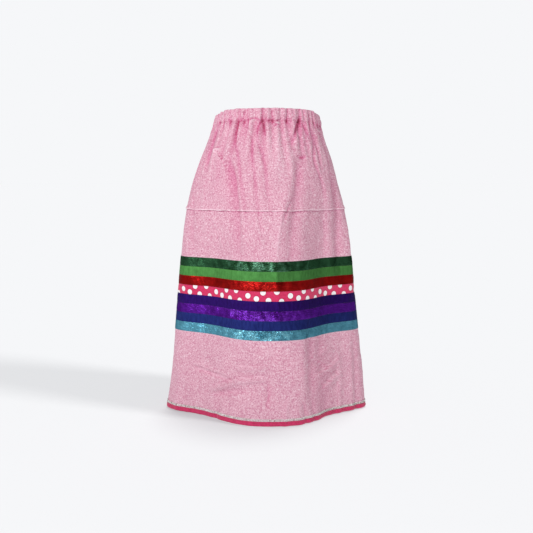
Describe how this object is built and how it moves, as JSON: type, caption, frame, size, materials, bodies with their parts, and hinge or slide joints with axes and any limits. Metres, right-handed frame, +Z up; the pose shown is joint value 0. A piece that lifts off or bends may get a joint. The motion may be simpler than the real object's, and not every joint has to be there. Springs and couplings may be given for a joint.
{
  "type": "ribbon skirt",
  "caption": "Elastic-waist A-line skirt in pink cotton, filled out as worn, with bands of satin, matt and dotted ribbon, a silver braid and a bound hem.",
  "frame": {"origin": "middle of the waist opening, at half the height of the elastic casing, where the wearer's waist holds the skirt", "axes": "+Z up out of the waist, the front of the skirt faces -Y, +X to the wearer's left side"},
  "size_m": [0.4946, 0.3363, 0.7174],
  "materials": {
    "pink_cotton": "matt quilting cotton, small tone-on-tone print",
    "ribbon_dark_green": "dark green polyester satin",
    "ribbon_green": "matt green taffeta ribbon",
    "ribbon_red": "dark red polyester satin",
    "ribbon_dotted": "hot pink ribbon printed with white dots",
    "ribbon_indigo": "matt indigo taffeta ribbon",
    "ribbon_purple": "purple polyester satin, crinkled",
    "ribbon_blue": "matt navy taffeta ribbon",
    "ribbon_teal": "teal polyester satin",
    "silver_braid": "metallic silver zigzag braid",
    "hem_binding": "raspberry bias binding, topstitched"
  },
  "bodies": {
    "root": {"waist_casing": "pink_cotton", "upper_front": "pink_cotton", "lower_front": "pink_cotton", "upper_back": "pink_cotton", "lower_back": "pink_cotton", "ribbon_dark_green_front": "ribbon_dark_green", "ribbon_dark_green_back": "ribbon_dark_green", "ribbon_green_front": "ribbon_green", "ribbon_green_back": "ribbon_green", "ribbon_red_front": "ribbon_red", "ribbon_red_back": "ribbon_red", "ribbon_dotted_front": "ribbon_dotted", "ribbon_dotted_back": "ribbon_dotted", "ribbon_indigo_front": "ribbon_indigo", "ribbon_indigo_back": "ribbon_indigo", "ribbon_purple_front": "ribbon_purple", "ribbon_purple_back": "ribbon_purple", "ribbon_blue_front": "ribbon_blue", "ribbon_blue_back": "ribbon_blue", "ribbon_teal_front": "ribbon_teal", "ribbon_teal_back": "ribbon_teal", "silver_braid": "silver_braid", "hem_binding": "hem_binding"}
  },
  "joints": []
}
